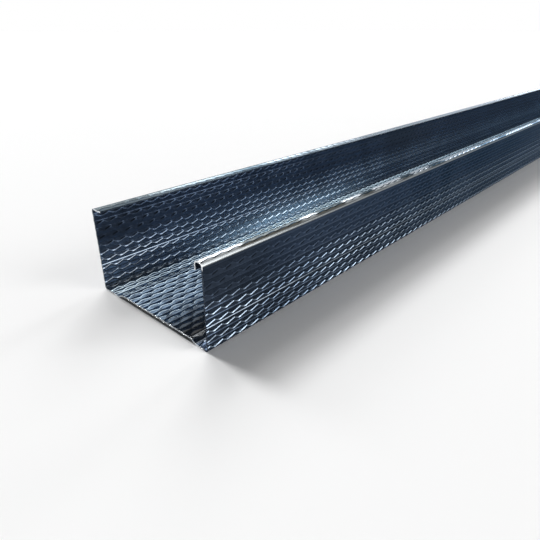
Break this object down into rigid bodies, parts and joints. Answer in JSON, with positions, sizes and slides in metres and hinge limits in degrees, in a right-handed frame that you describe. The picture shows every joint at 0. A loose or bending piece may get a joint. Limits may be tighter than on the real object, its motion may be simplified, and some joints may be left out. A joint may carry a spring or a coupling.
{
  "type": "drywall metal stud",
  "caption": "Roll-formed steel C-stud for plasterboard walls: two lipped flanges of unequal height, raised web with service holes, and rolled-in ribs all over.",
  "frame": {"origin": "middle of the stud's underside: centre of the bounding box in X and Y, its lowest level in Z", "axes": "+X across the web towards the flange with the hooked lip, +Y along the stud, +Z out of the open side"},
  "size_m": [0.064, 2.4, 0.035],
  "materials": {
    "zinc_coated_steel": "zinc-coated sheet with a rolled-in pattern of fine ribs"
  },
  "bodies": {
    "root": {"stud": "zinc_coated_steel"}
  },
  "joints": []
}
